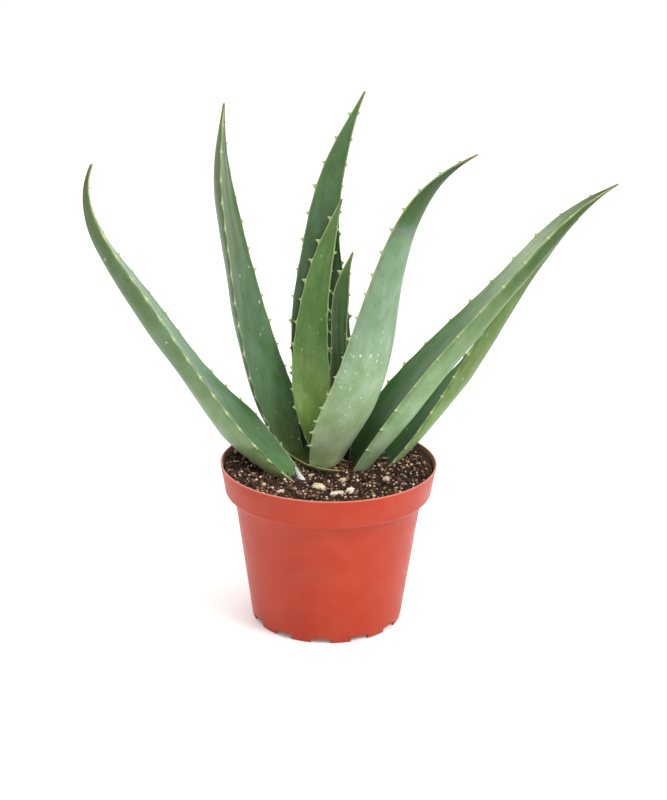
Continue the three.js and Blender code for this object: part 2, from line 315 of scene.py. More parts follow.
def cut_away(piece, cutters):
    """Cuts the cutters out of the piece for good."""
    for cutter in cutters:
        cut = piece.modifiers.new("cut", "BOOLEAN")
        cut.operation, cut.solver, cut.object = "DIFFERENCE", "MANIFOLD", cutter
    graph = bpy.context.evaluated_depsgraph_get()
    cut_mesh = bpy.data.meshes.new_from_object(piece.evaluated_get(graph))
    piece.modifiers.clear()
    piece.data, old = cut_mesh, piece.data
    cut_mesh.name = piece.name
    cut_mesh.set_sharp_from_angle(angle=math.radians(38))
    bpy.data.meshes.remove(old)


def cutter_from(bm):
    mesh = bpy.data.meshes.new("cutter")
    bm.to_mesh(mesh)
    bm.free()
    cutter = bpy.data.objects.new("cutter", mesh)
    bpy.context.scene.collection.objects.link(cutter)
    return cutter


# %% [markdown]
# ## The pot
#
# The real pot is injection moulded from orange-brown plastic little more than a millimetre thick. It
# has a wide band below the lip, a step where the band meets the cone, and twelve notches in its foot
# that let water run out. A lathe is the natural way to make it: we draw half of the wall's section,
# with its rounded lip and corners, and spin it round. The notches and the holes in the floor are cut
# afterwards, as the mould's inserts would leave them.

# %% Section of the pot
POT_HEIGHT, RIM_RADIUS, FOOT_RADIUS = 99.0, 65.0, 45.6
WALL, BAND_FOOT, BAND_RADIUS, BAND_ROUND = 1.2, 80.0, 62.3, 2.9
STEP_RADIUS = 56.8
FLOOR_UNDER, PAD_RADIUS, PAD_SLOPE, FLOOR_THICK = 3.4, 11.0, 4.0, 1.5
NOTCHES, FIRST_NOTCH, NOTCH_WIDTH, NOTCH_HEIGHT = 12, -64.0, 11.5, 3.0
DRAINS, DRAIN_RADIUS, DRAIN_CIRCLE = 6, 3.5, 29.0
WALL_RINGS = (4.5, 12, 30, 55, 70, 79.4)  # heights of extra rings, closest just above the notches


def arc(radius, height, size, start, end, steps=6):
    """Points on a round corner, from one bearing to another in degrees."""
    bearings = [math.radians(start + (end - start) * i / steps) for i in range(steps + 1)]
    return [(radius + size * math.cos(a), height + size * math.sin(a)) for a in bearings]


def pot_section():
    lip = WALL / 2
    inner_step = BAND_FOOT + WALL
    return [
        (0, 0),
        *arc(PAD_RADIUS - 1, 1, 1, -90, -50),
        *arc(PAD_RADIUS + PAD_SLOPE + 0.5, FLOOR_UNDER - 1, 1, 130, 90),
        *arc(FOOT_RADIUS - WALL - 1, FLOOR_UNDER - 1, 1, 90, 0),
        *arc(FOOT_RADIUS - WALL + 0.4, 0.4, 0.4, 180, 270, 3),
        *arc(FOOT_RADIUS - 0.4, 0.4, 0.4, -90, 0, 3),
        *[(FOOT_RADIUS + (STEP_RADIUS - FOOT_RADIUS) * z / BAND_FOOT, z) for z in WALL_RINGS],
        *arc(STEP_RADIUS + 0.5, BAND_FOOT - 0.5, 0.5, 180, 90, 4),
        *arc(BAND_RADIUS - BAND_ROUND, BAND_FOOT + BAND_ROUND, BAND_ROUND, -90, 0, 12),
        (BAND_RADIUS + 1.2, BAND_FOOT + 10.5),
        *arc(RIM_RADIUS - lip, POT_HEIGHT - lip, lip, 0, 180, 10),
        (BAND_RADIUS - WALL, BAND_FOOT + BAND_ROUND),
        *arc(BAND_RADIUS - WALL - 1.7, inner_step + 1.7, 1.7, 0, -90),
        (STEP_RADIUS - WALL, inner_step),
        (FOOT_RADIUS - WALL + 2.2, FLOOR_UNDER + FLOOR_THICK + 10),
        (FOOT_RADIUS - WALL + 0.9, FLOOR_UNDER + FLOOR_THICK + 2),
        *arc(FOOT_RADIUS - WALL - 0.6, FLOOR_UNDER + FLOOR_THICK + 1.5, 1.5, 0, -90),
        (PAD_RADIUS + PAD_SLOPE, FLOOR_UNDER + FLOOR_THICK),
        (PAD_RADIUS, FLOOR_THICK),
        (0, FLOOR_THICK),
    ]


section = pot_section()
print("pot section:", len(section), "points, widest", max(r for r, z in section), "mm")

# %% Finish of the pot
BAND_LEAN = 0.174  # how much wider the band gets for each millimetre up


def moulded_plastic():
    """Orange-brown plastic: a satin skin, faint rings from the mould, dust, a few scuffs, a painted
    highlight on the lip and a painted reflection on the inner wall.
    """
    material, tree, surface, place = start_material("moulded_plastic")
    height = height_of(tree, place)
    drift, smudge = mottle(tree, place, 22.0), mottle(tree, place, 75.0)
    base = blend(tree, drift, colour("#ad2f10", 0.84), colour("#b43514", 0.84))
    base = tint(tree, base, smudge, 0.05, "#c98d76")
    chips = flecks(tree, place, 210.0, 0.09, 0.035)
    base = tint(tree, base, chips, soft_mask(tree, height, 0.055, 0.09, 0.25, 0.9), "#e9d5cc")
    scratch = flecks(tree, stretched(tree, place, (30, 30, 900)), 1.0, 0.2, 0.03)
    base = tint(tree, base, scratch, 0.16, "#e2a48f")
    radius = add_node(tree, "ShaderNodeVectorMath", {0: stretched(tree, place, (1, 1, 0))},
                      operation="LENGTH").outputs["Value"]
    upright_part = sum_of(tree, "SUBTRACT", radius, product(tree, height, BAND_LEAN))
    inside = product(tree, soft_mask(tree, upright_part, 0.0475, 0.0471),
                     soft_mask(tree, height, (BAND_FOOT + 0.5) * MM, (BAND_FOOT + 3) * MM))
    # a pale pinkish tint on the inner wall is a painted reflection of the white room, strong enough to
    # show through the shade there
    base = tint(tree, base, inside, 0.6, "#bd978c")
    # a pale band along the top of the lip is a painted highlight
    lip = soft_mask(tree, height, (POT_HEIGHT - 0.9) * MM, (POT_HEIGHT - 0.2) * MM)
    base = tint(tree, base, lip, 0.35, "#dba391")
    soil_line = product(tree, soft_mask(tree, height, 0.0975, 0.0915, 0.0, 0.75),
                        soft_mask(tree, height, 0.088, 0.089))
    base = tint(tree, base, product(tree, soil_line, smudge), inside, "#5a4136")
    rings = add_node(tree, "ShaderNodeTexWave", {"Vector": place, "Scale": 70.0, "Distortion": 0.4},
                     bands_direction="Z").outputs["Fac"]
    relief = total(tree, product(tree, rings, 0.12), fine_tooth(tree, place, 900.0))
    relief = total(tree, relief, product(tree, drift, 1.5))
    shine = soft_mask(tree, smudge, 0.0, 1.0, 0.36, 0.46)
    wire_surface(tree, surface, base, shine, relief, 0.03, specular=0.29)
    feed(tree, surface, {"Subsurface Weight": 0.06, "Subsurface Radius": (0.004, 0.0012, 0.0006)})
    return material


# %% Spin the pot and cut its notches
POT_STEPS = 192


def build_pot():
    bm = bmesh.new()
    points = [bm.verts.new((r * MM, 0, z * MM)) for r, z in pot_section()]
    line = [bm.edges.new(pair) for pair in zip(points, points[1:])]
    bmesh.ops.spin(bm, geom=points + line, cent=(0, 0, 0), axis=(0, 0, 1), angle=2 * math.pi,
                   steps=POT_STEPS, use_merge=True)
    bmesh.ops.remove_doubles(bm, verts=bm.verts, dist=0.01 * MM)
    bmesh.ops.recalc_face_normals(bm, faces=bm.faces)
    piece = finish_piece("moulded_pot", bm, moulded_plastic(), ["pot"])
    cutters = []
    for i in range(NOTCHES):
        bearing = math.radians(FIRST_NOTCH + i * 360 / NOTCHES)
        bm = bmesh.new()
        bmesh.ops.create_cube(bm, size=MM)
        bmesh.ops.scale(bm, vec=(6, NOTCH_WIDTH, 2 * NOTCH_HEIGHT), verts=bm.verts)
        uprights = [e for e in bm.edges if abs(e.verts[0].co.y - e.verts[1].co.y) < 1e-6
                    and abs(e.verts[0].co.z - e.verts[1].co.z) < 1e-6 and e.verts[0].co.z > 0]
        bmesh.ops.bevel(bm, geom=uprights, offset=0.8 * MM, segments=4, profile=0.5, material=-1,
                        affect="EDGES")
        bmesh.ops.translate(bm, vec=((FOOT_RADIUS - WALL / 2) * MM, 0, 0), verts=bm.verts)
        bmesh.ops.rotate(bm, matrix=Matrix.Rotation(bearing, 3, "Z"), verts=bm.verts)
        cutters.append(cutter_from(bm))
    for i in range(DRAINS):
        bearing = i * 2 * math.pi / DRAINS
        bm = bmesh.new()
        bmesh.ops.create_cone(bm, cap_ends=True, segments=40, radius1=DRAIN_RADIUS * MM,
                              radius2=DRAIN_RADIUS * MM, depth=8 * MM)
        place = (DRAIN_CIRCLE * MM * math.cos(bearing), DRAIN_CIRCLE * MM * math.sin(bearing), 4 * MM)
        bmesh.ops.translate(bm, vec=place, verts=bm.verts)
        cutters.append(cutter_from(bm))
    cut_away(piece, cutters)
    for cutter in cutters:
        bpy.data.objects.remove(cutter)
    return piece


pot = build_pot()
print("pot cut by", NOTCHES, "notches and", DRAINS, "drain holes:", len(pot.data.polygons), "faces")

# %% [markdown]
# ## The soil
#
# Potting mix is peat fibre, bark crumbs and white perlite. From a distance its surface is a dark
# carpet with lumps. One grid, pressed into a disc and raised by several sizes of noise, gives the
# carpet; loose crumbs and grains that lie on it give the sharp little shadows that a bump alone
# can't. The same height rule places the crumbs, so none of them floats.

# %% Height of the soil
SOIL_LEVEL = 92.0
SOIL_EDGE = 62.0
CROWN = Vector((4.0, 19.0, SOIL_LEVEL))
BANK = 4.6  # the soil is heaped a little against the back and the sides of the pot
SLOW, LUMP, CRUMB, GRIT = 17, 4.2, 1.9, 0.8  # sizes of its unevenness in millimetres


def soil_height(x, y):
    """Height of the soil's surface in millimetres above its mean level."""
    slow = noise.noise(Vector((x, y, 3)) / SLOW)
    lumps = 0.5 - noise.voronoi(Vector((x, y, 7)) / LUMP)[0][0]
    crumbs = 0.45 - noise.voronoi(Vector((x, y, 11)) / CRUMB)[0][0]
    rough = noise.noise(Vector((x, y, 5)) / GRIT)
    out = math.hypot(x, y)
    edge = max(0.0, min(1.0, (SOIL_EDGE - out) / 3))
    heaped = max(0.0, min(1.0, (out - 36) / 22)) * max(0.0, min(1.0, 0.8 + 1.3 * y / SOIL_EDGE))
    rise = 0.9 * slow + 2.2 * lumps + 1.6 * crumbs + 0.4 * rough
    return BANK * heaped + (0.35 + 0.65 * edge) * rise


def disc_place(u, v):
    """Presses a square from -1 to 1 into a round disc."""
    return u * math.sqrt(1 - v * v / 2), v * math.sqrt(1 - u * u / 2)


# %% Finish of the soil
def peat_finish():
    """Dark peat with tan fibres, pinkish bark crumbs and pale dust."""
    material, tree, surface, place = start_material("peat")
    base = blend(tree, mottle(tree, place, 160.0), colour("#120a08"), colour("#3a2820"))
    fine = mottle(tree, place, 700.0)
    base = tint(tree, base, fine, 0.5, "#5d4537")
    base = blend(tree, flecks(tree, place, 360.0, 0.42, 0.2), base, colour("#96765d"))
    base = blend(tree, flecks(tree, place, 520.0, 0.32, 0.12), base, colour("#c7ad95"))
    relief = total(tree, fine_tooth(tree, place, 1400.0), fine)
    wire_surface(tree, surface, base, 0.92, relief, 0.5, specular=0.25)
    return material


def crumb_finish():
    """Loose crumbs, each with a tone of its own from nearly black to straw."""
    material, tree, surface, place = start_material("loose_crumbs")
    tone = add_node(tree, "ShaderNodeAttribute", {}, attribute_name="tone").outputs["Fac"]
    stops = [(0.0, "#0e0806"), (0.35, "#271710"), (0.55, "#5c3f2c"), (0.74, "#966f51"),
             (0.9, "#c9a484"), (1.0, "#ecd9c4")]
    base = ramp(tree, tone, stops)
    base = tint(tree, base, mottle(tree, place, 700.0), 0.4, "#4a3629")
    wire_surface(tree, surface, base, 0.9, fine_tooth(tree, place, 2400.0), 0.25, specular=0.3)
    return material


# %% Shape the soil
SOIL_CELLS = 260
SOIL_RINGS = [(90.4, 61.95), (83.2, 60.75), (81.6, 58.0), (81.5, 55.3), (5.4, 44.6), (5.2, 15.2),
              (1.9, 11.0)]


def build_soil():
    bm = bmesh.new()
    bmesh.ops.create_grid(bm, x_segments=SOIL_CELLS, y_segments=SOIL_CELLS, size=1)
    for vert in bm.verts:
        x, y = disc_place(vert.co.x, vert.co.y)
        x, y = x * SOIL_EDGE, y * SOIL_EDGE
        vert.co = Vector((x, y, SOIL_LEVEL + soil_height(x, y))) * MM
    rim = [edge for edge in bm.edges if edge.is_boundary]
    for height, radius in SOIL_RINGS:
        made = bmesh.ops.extrude_edge_only(bm, edges=rim)["geom"]
        rim = [item for item in made if isinstance(item, bmesh.types.BMEdge) and item.is_boundary]
        for vert in {v for edge in rim for v in edge.verts}:
            flat = vert.co.xy.normalized() * radius * MM
            vert.co = (flat.x, flat.y, height * MM)
    bmesh.ops.contextual_create(bm, geom=rim)
    bmesh.ops.recalc_face_normals(bm, faces=bm.faces)
    return finish_piece("potting_mix", bm, peat_finish(), ["potting_soil"])


build_soil()

# %% Scatter loose crumbs and fibres
CRUMBS = 2300
FIBRES = 170


def scatter_place(rng):
    radius = (SOIL_EDGE - 2.0) * math.sqrt(rng.random())
    bearing = rng.uniform(0, 2 * math.pi)
    return radius * math.cos(bearing), radius * math.sin(bearing)


def build_crumbs():
    rng = random.Random(11)
    bm = bmesh.new()
    tones = bm.verts.layers.float.new("tone")
    for i in range(CRUMBS + FIBRES):
        fibre = i >= CRUMBS
        made = bmesh.ops.create_icosphere(bm, subdivisions=1, radius=0.5)["verts"]
        x, y = scatter_place(rng)
        if fibre:
            size = Vector((rng.uniform(2.0, 5.5), rng.uniform(0.35, 0.8), rng.uniform(0.3, 0.6)))
            tilt = Matrix.Rotation(rng.uniform(-0.35, 0.35), 3, "Y")
            turn_by = Matrix.Rotation(rng.uniform(0, math.pi), 3, "Z") @ tilt
        else:
            width = rng.uniform(1.0, 2.5) * (1.6 if rng.random() < 0.1 else 1.0)
            size = Vector((width, width * rng.uniform(0.6, 1), width * rng.uniform(0.5, 0.9)))
            axis = Vector((rng.gauss(0, 1), rng.gauss(0, 1), rng.gauss(0, 1))).normalized()
            turn_by = Matrix.Rotation(rng.uniform(0, 2 * math.pi), 3, axis)
        tone = rng.random() ** (0.8 if fibre else 1.1)
        top = Vector((x, y, SOIL_LEVEL + soil_height(x, y) + 0.25 * size.z))
        for vert in made:
            vert.co *= rng.uniform(0.75, 1.2)
            shaped = Vector((vert.co.x * size.x, vert.co.y * size.y, vert.co.z * size.z))
            vert.co = (top + turn_by @ shaped) * MM
            vert[tones] = tone
    return finish_piece("loose_mix", bm, crumb_finish(), smooth=False)


build_crumbs()

# %% [markdown]
# ### Perlite and pumice
#
# The pale lumps are puffed volcanic glass: light, chalky, full of tiny pits. Each begins as an
# icosphere, is stretched to its CAD size and pushed in and out by noise, so that it looks broken
# rather than rolled. Smaller grains of the same stuff are scattered over the soil.

# %% Finish of the lumps
def perlite_finish(name, light, warm):
    material, tree, surface, place = start_material(name)
    base = blend(tree, mottle(tree, place, 380.0), colour(warm), colour(light))
    pits = flecks(tree, place, 1400.0, 0.4, 0.3)
    base = tint(tree, base, pits, 0.25, "#8d7a63")
    relief = sum_of(tree, "SUBTRACT", fine_tooth(tree, place, 1500.0), pits)
    wire_surface(tree, surface, base, 0.85, relief, 0.4, specular=0.3)
    return material


CREAM = perlite_finish("cream_pumice", "#dfd2ae", "#bda983")
PINK = perlite_finish("pinkish_perlite", "#e2d2c2", "#c2a896")
WHITE = perlite_finish("white_perlite", "#ece4d6", "#cbbca8")

# %% Make the lumps and the grains
SOIL_RADIUS = 61.1
LUMPS = [  # bearing in degrees, inset from the wall, size [outwards, across, high], finish
    (-102, 33, (6, 10, 6), CREAM),
    (-82, 24, (6, 8.5, 5), PINK),
    (-67, 27, (5, 6, 4.5), WHITE),
    (-60, 44, (4, 4.5, 4), CREAM),
    (-100, 9, (4, 5, 4), CREAM),
    (-128, 16, (4, 5, 4), PINK),
    (171, 4.5, (6, 6, 5), PINK),
    (-19, 24, (5, 5.5, 4.5), PINK),
    (17, 11, (4, 5, 4), WHITE),
    (55, 12, (5, 7, 5), CREAM),
    (95, 8, (5, 5, 4), WHITE),
    (122, 10, (5, 7, 5), PINK),
]


def build_lump(number, bearing, inset, size, material):
    bm = bmesh.new()
    bmesh.ops.create_icosphere(bm, subdivisions=5, radius=0.5)
    drift = Vector((number * 3.7, number * 1.3, 0))
    turn_by = Matrix.Rotation(math.radians(bearing), 3, "Z")
    middle = turn_by @ Vector((SOIL_RADIUS - inset, 0, SOIL_LEVEL))
    for vert in bm.verts:
        ray = vert.co.normalized()
        broken = 0.3 * noise.noise(ray * 1.3 + drift) + 0.14 * noise.noise(ray * 3.1 + drift)
        chipped = 0.3 * (0.4 - noise.voronoi(ray * 1.5 + drift)[0][0])
        pits = 0.025 * noise.noise(ray * 11 + drift)
        reach = 0.46 + 0.5 * (broken + chipped + pits)
        shaped = Vector((ray.x * size[0], ray.y * size[1], ray.z * size[2])) * reach
        vert.co = (middle + turn_by @ shaped) * MM
    node = f"pebble_{number:02d}"
    return finish_piece(f"perlite_{number:02d}", bm, material, [node])


for number, lump in enumerate(LUMPS, 1):
    build_lump(number, *lump)

GRAINS = 210


def build_grains():
    rng = random.Random(5)
    bm = bmesh.new()
    for _ in range(GRAINS):
        made = bmesh.ops.create_icosphere(bm, subdivisions=1, radius=0.5)["verts"]
        x, y = scatter_place(rng)
        width = rng.uniform(0.8, 1.9) * (1.5 if rng.random() < 0.1 else 1.0)
        top = Vector((x, y, SOIL_LEVEL + soil_height(x, y) + 0.3 * width))
        turn_by = Matrix.Rotation(rng.uniform(0, 2 * math.pi), 3, "Z")
        for vert in made:
            vert.co *= width * rng.uniform(0.75, 1.15)
            vert.co.z *= 0.75
            vert.co = (top + turn_by @ vert.co) * MM
    return finish_piece("perlite_grains", bm, PINK, smooth=False)


build_grains()

# %% [markdown]
# ## The leaves
#
# An aloe leaf is a long pointed gutter: a shallow channel above, a full belly below, and a tough
# pale margin between them with a row of small forward-pointing teeth. It could be sculpted, or bent
# with a curve. We walk along its middle line instead, with nearly the CAD's own numbers, and wrap a
# fine grid round that line. Every column of the grid then runs along the leaf, and two of them are
# the margins, which can be pulled out into teeth.

# %% Numbers of the leaves
LEAVES = {
    "heart": dict(
        root=(1, 2.5, -6), length=137, heading=(63, 52, 45), climb=(74, 93, 93, 85, 59),
        roll=(0, -4, 18), width=(15, 17, 16, 12, 11, 1.5), bulge=0.3, channel=0.12, pitch=12.5,
        # the heart's greens are its own green darkened as painted shade, since it lies shaded between
        # the other leaves
        upper=("#243a12", "#284418", "#33521f", "#43692b", "#4f7234"),
        bloom=0.1, spots=0.2, line=0.45,
    ),
    "centre": dict(
        root=(-3, 2, -8), length=171, heading=(155, 80, 33), climb=(71, 70, 73, 69, 67),
        roll=(0, -12, 25), width=(20, 24, 23, 20, 13, 1.5), bulge=0.3, channel=0.12, pitch=13.5,
        # the first colour, at the root, is painted shade: the dark gap between the crowded leaf bases
        upper=("#4a6a20", "#98ba60", "#6a8e44", "#698d48", "#688a48"),
        bloom=0.12, spots=0.22, line=0.55,
    ),
    "back_tall": dict(
        root=(-2, 8, -12), length=242, heading=(116, 91, 35), climb=(69, 77, 75, 62, 59),
        roll=(1, -7, 22), width=(34, 37, 36, 23, 14, 1.5), bulge=0.3, channel=0.12, pitch=16,
        # these greens are the leaf's own green with painted shade in them, as the leaf stands in shadow
        # at the back
        upper=("#36491f", "#3d5d28", "#385631", "#4d7041", "#5a7946"),
        under=("#36491f", "#40602e", "#3d5f35", "#4e7242", "#5c7b46"),
        bloom=0.15, spots=0.12, line=0.45, hook=(0, -0.5, 0),
    ),
    "front": dict(
        root=(-3.5, -5, -12), length=249, heading=(-59, -52, -27), climb=(78, 63, 72, 63, 29),
        roll=(14, 6, -20), width=(27, 43, 38, 25, 15, 1.5), bulge=0.34, channel=0.1, pitch=14,
        # the first colours, at the root, are the skin's own pale green brightened further as painted
        # light, against the shade under the leaf
        upper=("#d8ecb4", "#b2cca0", "#8aa88a", "#7f9f80", "#4a7032", "#304814"),
        under=("#ecfcc8", "#bcd6a8", "#8daa8c", "#82a182", "#446a2c", "#2e4612"),
        places=(0.06, 0.24, 0.5, 0.72, 0.77, 0.95),
        bloom=0.75, spots=1.6, zone=(0.14, 0.5), scar=0.743, gloss=0.3,
        sweep=(-3, 4.5, 1), pull=(0, 6),
    ),
    "left_high": dict(
        root=(-3.5, 3.5, -7.5), length=239, heading=(158, 144, 153), climb=(35, 65, 74, 79, 95),
        roll=(-26, 6, 22), width=(24, 32, 31, 26, 21.5, 3), bulge=0.36, channel=0.12, pitch=15,
        upper=("#6b8040", "#6f9668", "#5f7d5a", "#56713f", "#5c7040"),
        under=("#43552b", "#5a7855", "#708a6e", "#677f58", "#6a7848"),
        bloom=0.3, spots=0.12, line=0.85,
    ),
    "right_high": dict(
        root=(6.5, -1, -12.5), length=248, heading=(-6, -2, -13), climb=(72, 55, 48, 50, 30),
        roll=(16, 4, 12), width=(23, 40, 37, 27, 20, 1.5), bulge=0.45, channel=0.12, pitch=19,
        # the pale fourth upper colour is a painted highlight: the bluish reflection of the white room
        # on the upper face
        upper=("#44703a", "#3f6a34", "#5f8650", "#b0c4a3", "#4c6032"),
        under=("#b4d0a4", "#a6c29a", "#829f6c", "#4d6c38", "#4a5e33"),
        bloom=0.35, spots=0.0, gloss=0.12, sweep=(-3, -6, 0),
    ),
    "right_low": dict(
        root=(9, 1, -14), length=214, heading=(16, -1, -1), climb=(37, 48, 59, 55, 46),
        roll=(17, -11, -4), width=(25, 36, 35, 30, 17, 1.5), bulge=0.3, channel=0.12, pitch=15,
        upper=("#2c6418", "#2f6a1e", "#437a30", "#5f8444", "#808e62"),
        under=("#b8d292", "#8fae74", "#7c9358", "#6d864c", "#7d8760"),
        bloom=0.15, spots=0.1, gloss=0.08,
        sweep=(-3, -9, 0), shift=(0, -3.5, -5, -3, -0.5, 0),
    ),
    "left_low": dict(
        root=(-9.5, -1, -13), sweep=(0, -16, 6.5), hook=(5, 0, -2), length=246,
        heading=(183, 169, 185), climb=(38, 45, 54, 55, 90),
        roll=(-16, 11, 8), width=(40, 38, 27, 26, 16.5, 3), bulge=0.5, channel=0.1, pitch=15,
        upper=("#5f8a52", "#638b5c", "#7c9e7e", "#93ac92", "#85985e"),
        under=("#a9be78", "#8fae7c", "#66894f", "#5a7745", "#5f703c"),
        bloom=0.4, spots=0.05, line=1.0, pull=(34, 0),
    ),
}
WALK_STEPS = 60
SWEEP_SHARE = 0.4  # share of the length over which a swept root comes back into line
HOOK_SHARE = 0.12  # share of the length that a hooked tip bends over
PULL_SHARE = 0.25  # share of the length over which a squeezed root reaches its full width
print("leaves, longest first:", sorted(LEAVES, key=lambda k: -LEAVES[k]["length"]))

# %% [markdown]
# ### Shape of a leaf
#
# The lists above are spread evenly from root to tip and joined by a smooth curve. Walking along
# heading and climb gives the middle line; roll turns the leaf about it. Across the line, the top is
# a shallow channel that fades to the tip, and the belly is a full curve.

# %% From numbers to points
def along(values, t):
    """Smooth values between numbers that are spread evenly from t = 0 to t = 1."""
    values = np.asarray(values, float)
    spans = len(values) - 1
    place = np.clip(t, 0, 1) * spans
    i = np.minimum(place.astype(int), spans - 1)
    f = place - i
    before, a = values[np.maximum(i - 1, 0)], values[i]
    b, after = values[i + 1], values[np.minimum(i + 2, spans)]
    slope_a, slope_b = (b - before) / 2, (after - a) / 2
    cubic = 2 * a - 2 * b + slope_a + slope_b
    square = 3 * b - 3 * a - 2 * slope_a - slope_b
    return cubic * f**3 + square * f**2 + slope_a * f + a


def leaf_frame(leaf, t):
    """Directions along the leaf, out of its upper side and across it, at each t."""
    heading, climb, roll = (np.radians(along(leaf[k], t)) for k in ("heading", "climb", "roll"))
    flat = np.stack([np.cos(heading), np.sin(heading), 0 * heading], -1)
    up = np.array([0, 0, 1])
    c, s = np.cos(climb)[:, None], np.sin(climb)[:, None]
    ahead, over = c * flat + s * up, c * up - s * flat
    across = np.cross(ahead, over)
    c, s = np.cos(roll)[:, None], np.sin(roll)[:, None]
    return ahead, c * over + s * across, c * across - s * over


def middle_line(leaf, t):
    steps = (np.arange(WALK_STEPS) + 0.5) / WALK_STEPS
    ahead = leaf_frame(leaf, steps)[0] * leaf["length"] / WALK_STEPS
    walked = np.vstack([np.zeros(3), np.cumsum(ahead, 0)]) + np.array(leaf["root"]) + np.array(CROWN)
    knots = np.linspace(0, 1, WALK_STEPS + 1)
    near_root = np.clip(knots / SWEEP_SHARE, 0, 1)
    fading = 1 - near_root**2 * (3 - 2 * near_root)
    walked += fading[:, None] * np.array(leaf.get("sweep", (0, 0, 0)))
    line = np.stack([np.interp(t, knots, walked[:, k]) for k in range(3)], -1)
    near_tip = np.clip((t - 1) / HOOK_SHARE + 1, 0, 1) ** 2
    return line + near_tip[:, None] * np.array(leaf.get("hook", (0, 0, 0)))


# %% [markdown]
# ### Teeth
#
# Each tooth is a small hook: its back rises slowly from the margin and its face drops off quickly
# towards the tip. Between two teeth the margin is a shallow scallop. No two teeth on a real leaf are
# alike, so size and spacing wander a little.

# %% Profile of a toothed margin
TOOTH_HEIGHT = 2.5
TOOTH_BACK = 2.9
TOOTH_FACE = 0.9
TOOTH_RISE = 0.55  # teeth also point up, away from the belly
FIRST_TOOTH = 28.0
LAST_TOOTH = 7.0
SCALLOP = 0.7


def tooth_places(leaf, side, rng):
    places = []
    at = FIRST_TOOTH + side * leaf["pitch"] / 4
    while at < leaf["length"] - LAST_TOOTH:
        places.append((at, rng.uniform(0.55, 1.1)))
        grown = min(1.0, 0.62 + 0.38 * at / 90)  # closer together near the root
        at += leaf["pitch"] * grown * rng.uniform(0.85, 1.15)
    return places


def toothed_margin(leaf, side, s, rng):
    """How far the margin stands out at each distance s from the root, in millimetres."""
    out = np.zeros_like(s)
    places = tooth_places(leaf, side, rng)
    for at, size in places:
        d = (s - at) / size
        back_part = np.clip(1 + d / TOOTH_BACK, 0, 1) ** 1.9
        face_part = np.clip(1 - d / TOOTH_FACE, 0, 1) ** 1.2
        out = np.maximum(out, size * TOOTH_HEIGHT * np.where(d < 0, back_part, face_part))
    knots = [at for at, _ in places]
    for a, b in zip(knots, knots[1:]):
        between = (s > a) & (s < b)
        share = (s[between] - a) / (b - a)
        out[between] -= SCALLOP * np.sin(np.pi * share) ** 2
    return out


# %% Wrap a grid round the middle line
LEAF_STATIONS = 560
LEAF_COLUMNS = 44
MARGIN_BEAD = 0.3  # the margin is a thin raised bead
TIP_ROUND = 1.5  # the tip closes over this length
DRIFT_SIZE, DRIFT_DEPTH = 26, 0.55  # soft dents of the skin
CREASE_SIZE, CREASE_DEPTH = 90, 0.22  # long shallow creases


def distance_to_margin(x, z):
    """Distance of every point from the nearer margin, measured over the skin."""
    strides = np.hypot(np.roll(x, -1, 1) - x, np.roll(z, -1, 1) - z)
    half_way = LEAF_COLUMNS // 2
    walked = np.zeros_like(x)
    for start in (0, half_way):
        walked[:, start + 1 : start + half_way] = np.cumsum(strides[:, start : start + half_way - 1], 1)
        total = strides[:, start : start + half_way].sum(1)[:, None]
        span = walked[:, start : start + half_way]
        walked[:, start : start + half_way] = np.minimum(span, total - span)
    return walked


def leaf_surface(leaf, seed):
    """Points [station, column] of the leaf in millimetres, and what the finish needs to know."""
    rng = random.Random(seed)
    t = np.linspace(0, 1, LEAF_STATIONS + 1)
    s = t * leaf["length"]
    centre = middle_line(leaf, t)
    _, over, across = leaf_frame(leaf, t)
    left = leaf["length"] * (1 - t)
    point = np.sqrt(np.clip(1 - (1 - np.clip(left / TIP_ROUND, 0, 1)) ** 2, 0, 1))
    width = along(leaf["width"], t) * point
    angle = np.arange(LEAF_COLUMNS) * 2 * np.pi / LEAF_COLUMNS
    cosine, sine = np.cos(angle), np.sin(angle)
    far_pull, near_pull = leaf.get("pull", (0, 0))
    squeezed = np.clip(1 - t / PULL_SHARE, 0, 1) ** 1.2
    width = np.maximum(width - (far_pull + near_pull) * squeezed, 1.5 * point)
    aside = (near_pull - far_pull) / 2 * squeezed + along(leaf.get("shift", (0, 0)), t)
    half = (width / 2)[:, None]
    x = half * cosine
    top = -(width * leaf["channel"] * (1 - t))[:, None] * sine**2
    belly = -(width * leaf["bulge"])[:, None] * np.abs(sine) ** 1.3
    z = np.where(sine >= 0, top, belly)
    bead = MARGIN_BEAD * np.exp(-(((half - np.abs(x)) / 0.9) ** 2)) * np.sign(sine)
    z = z + bead * np.minimum(1, half / 4)
    drift, crease = (
        np.array([[noise.noise(Vector((far / size, turns * c, key))) for c in cosine] for far in s])
        for size, turns, key in ((DRIFT_SIZE, 2.2, seed), (CREASE_SIZE, 7.0, seed + 9))
    )
    calm = np.minimum(1, half / 6) * np.abs(sine) ** 0.5
    z = z + calm * (DRIFT_DEPTH * drift + CREASE_DEPTH * crease)
    margin = distance_to_margin(x, z)
    for side, column in ((1, 0), (-1, LEAF_COLUMNS // 2)):
        out = toothed_margin(leaf, side, s, rng) * np.clip(left / 12, 0.35, 1)
        for offset, share in ((0, 1.0), (1, 0.25), (-1, 0.25)):
            c = (column + offset) % LEAF_COLUMNS
            x[:, c] += side * out * share
            z[:, c] += TOOTH_RISE * out * share
            margin[:, c] -= out * share
    sideways = (x + aside[:, None])[..., None] * across[:, None]
    points = centre[:, None] + sideways + z[..., None] * over[:, None]
    return points, x, margin


def leaf_layers(bm):
    """The leaf's own map and the three numbers at each point that its skin reads."""
    uv = bm.loops.layers.uv.new("leaf")
    return uv, *[bm.verts.layers.float.new(label) for label in ("margin", "upper", "reach")]


